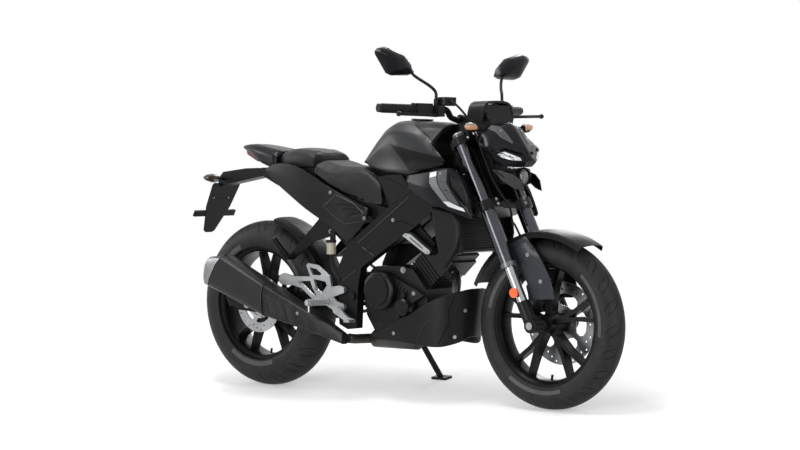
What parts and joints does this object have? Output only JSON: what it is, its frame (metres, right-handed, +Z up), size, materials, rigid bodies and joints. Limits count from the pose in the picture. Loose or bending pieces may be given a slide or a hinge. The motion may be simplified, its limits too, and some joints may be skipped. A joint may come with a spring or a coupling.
{
  "type": "standard motorcycle",
  "caption": "Small naked road motorcycle with cast wheels, upside-down fork, chain drive and a side stand that it leans on.",
  "frame": {"origin": "middle of the base of the parked, leaning motorcycle's box", "axes": "+X forward, +Y to the rider's left, +Z up; the ground is Z = 0"},
  "size_m": [1.955, 0.8716, 1.2952],
  "materials": {
    "frame_black": "satin black paint",
    "plastic_black": "grained black plastic",
    "engine": "black painted aluminium casting",
    "cover": "satin black engine covers",
    "radiator": "black aluminium core",
    "steel_pipe": "brushed stainless steel",
    "muffler": "satin black heat paint",
    "muffler_cap": "brushed grey steel",
    "shield": "woven black heat shield",
    "swingarm": "satin black steel",
    "axle": "bright steel",
    "chain": "oiled steel",
    "tank": "satin dark grey paint",
    "scoop": "near-black midnight gloss",
    "seat": "black vinyl cover",
    "pillion": "dark grey vinyl cover",
    "cowl": "near-black midnight gloss",
    "tail_lens": "red lens",
    "flasher_front": "clear lens",
    "flasher_rear": "smoked amber lens",
    "alloy": "silver cast aluminium",
    "steel": "steel",
    "reservoir": "translucent white plastic",
    "caliper": "black caliper",
    "fork_tube": "gloss black anodised tube",
    "slider": "hard chrome and black casting",
    "bar": "satin black bar",
    "grip": "black rubber",
    "control": "black plastic housings",
    "lever": "black anodised lever",
    "mirror_shell": "black plastic",
    "mirror_glass": "mirror",
    "lamp": "dark lamp housing",
    "meter": "black plastic",
    "reflector": "amber reflector",
    "tyre": "black road tyre",
    "wheel": "gloss black cast wheel",
    "disc": "steel brake disc",
    "rear_disc": "bright steel brake disc",
    "stand": "black steel"
  },
  "bodies": {
    "chassis": {"frame": "frame_black", "tray": "plastic_black", "airbox": "plastic_black", "engine": "engine", "clutch_cover": "cover", "generator_cover": "cover", "radiator": "radiator", "radiator_shrouds": "plastic_black", "belly_pan": "plastic_black", "exhaust_pipe": "steel_pipe", "muffler": "muffler", "muffler_cap": "muffler_cap", "muffler_shield": "shield", "swingarm": "swingarm", "rear_shock": "steel", "rear_axle": "axle", "chain": "chain", "rear_hugger": "plastic_black", "fuel_tank": "tank", "filler_cap": "bar", "tank_scoops": "scoop", "knee_panels": "plastic_black", "seat": "seat", "pillion_seat": "pillion", "tail_cowl": "cowl", "tail_covers": "plastic_black", "tail_light": "tail_lens", "plate_holder": "plastic_black", "rear_flashers": "flasher_rear", "footrests": "alloy", "pillion_footrests": "frame_black", "pedals": "steel", "brake_reservoir": "reservoir", "rear_caliper": "caliper"},
    "steering": {"fork_clamps": "frame_black", "fork_tubes": "fork_tube", "fork_sliders": "slider", "front_axle": "axle", "handlebar": "bar", "grips": "grip", "switchgear": "control", "levers": "lever", "mirrors": "mirror_shell", "mirror_glass": "mirror_glass", "nose_cowl": "cowl", "headlamp": "lamp", "meter": "meter", "front_flashers": "flasher_front", "front_fender": "plastic_black", "front_caliper": "caliper", "fork_reflectors": "reflector", "brake_hose": "grip"},
    "front_wheel": {"front_tyre": "tyre", "front_wheel": "wheel", "front_disc": "disc"},
    "rear_wheel": {"rear_tyre": "tyre", "rear_wheel": "wheel", "rear_disc": "rear_disc", "sprocket": "chain"},
    "side_stand": {"side_stand": "stand"}
  },
  "joints": [
    {"name": "steering", "type": "hinge", "parent": "chassis", "child": "steering", "pos_m": [0.64334, -0.13883, 0.27389], "axis": [-0.4384, 0.1406, 0.8877], "range_deg": [-32, 32]},
    {"name": "front_wheel", "type": "hinge", "parent": "steering", "child": "front_wheel", "pos_m": [0.68325, -0.13578, 0.29311], "axis": [0, 0.9877, -0.1564], "continuous": true},
    {"name": "rear_wheel", "type": "hinge", "parent": "chassis", "child": "rear_wheel", "pos_m": [-0.64175, -0.13297, 0.31089], "axis": [0, 0.9877, -0.1564], "continuous": true},
    {"name": "side_stand", "type": "hinge", "parent": "chassis", "child": "side_stand", "pos_m": [-0.05925, 0.00963, 0.20123], "axis": [0.1216, 0.9201, 0.3722], "range_deg": [0, 104.5]}
  ]
}
